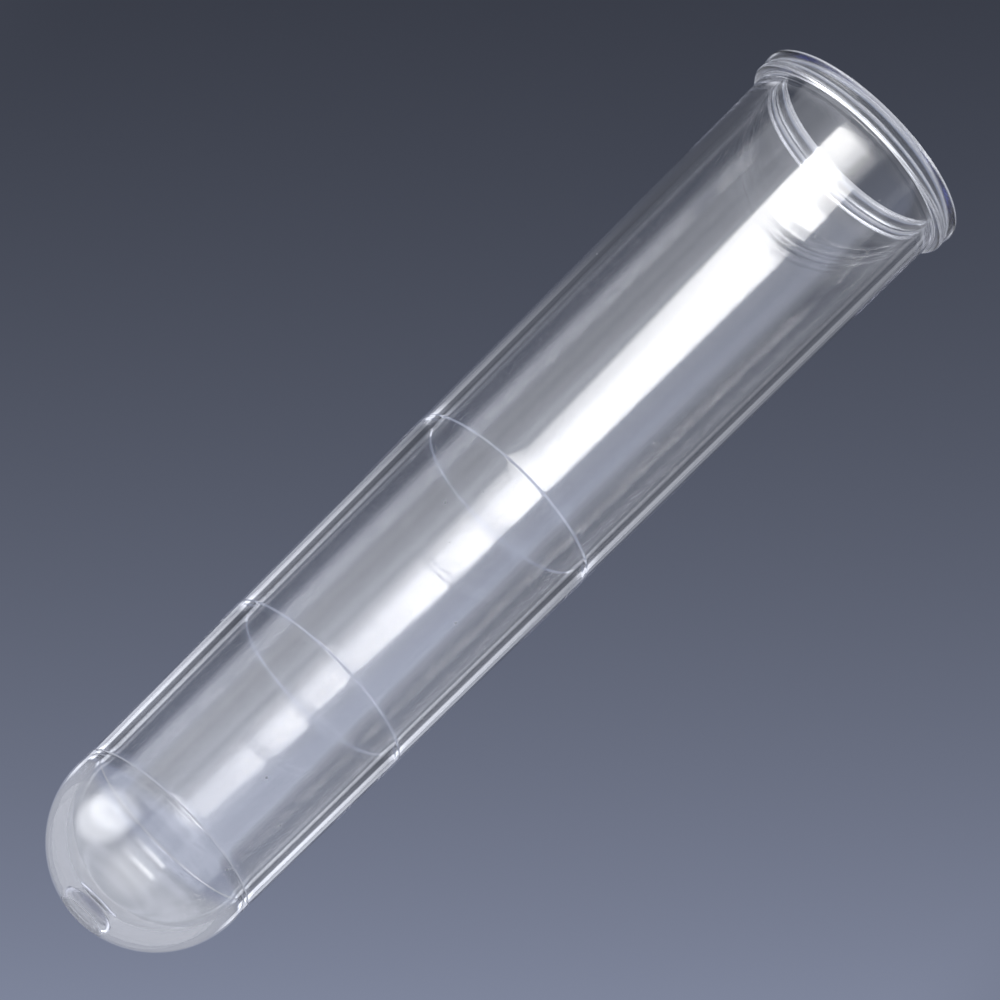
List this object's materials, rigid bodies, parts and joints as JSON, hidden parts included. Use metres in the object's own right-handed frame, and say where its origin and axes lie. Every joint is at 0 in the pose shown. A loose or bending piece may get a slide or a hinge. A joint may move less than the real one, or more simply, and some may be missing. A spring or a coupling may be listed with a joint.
{
  "type": "test tube",
  "caption": "Clear moulded plastic test tube with a round bottom, a slightly tapered barrel, two moulded filling lines and a beaded rim.",
  "frame": {"origin": "middle of the small gate pad at the outer pole of the round bottom, on the tube's axis", "axes": "+Z along the tube's axis, from the round bottom to the mouth; X and Y are free, because the tube is round"},
  "size_m": [0.017, 0.017, 0.0754],
  "materials": {
    "clear_plastic": "clear polystyrene, glossy, with faint moulding streaks along the wall and a slight violet-blue tint in thick edges"
  },
  "bodies": {
    "root": {"gate_pad": "clear_plastic", "round_bottom": "clear_plastic", "core_mark": "clear_plastic", "lower_barrel": "clear_plastic", "middle_barrel": "clear_plastic", "upper_barrel": "clear_plastic", "flange_ring": "clear_plastic", "lip_ring": "clear_plastic"}
  },
  "joints": []
}
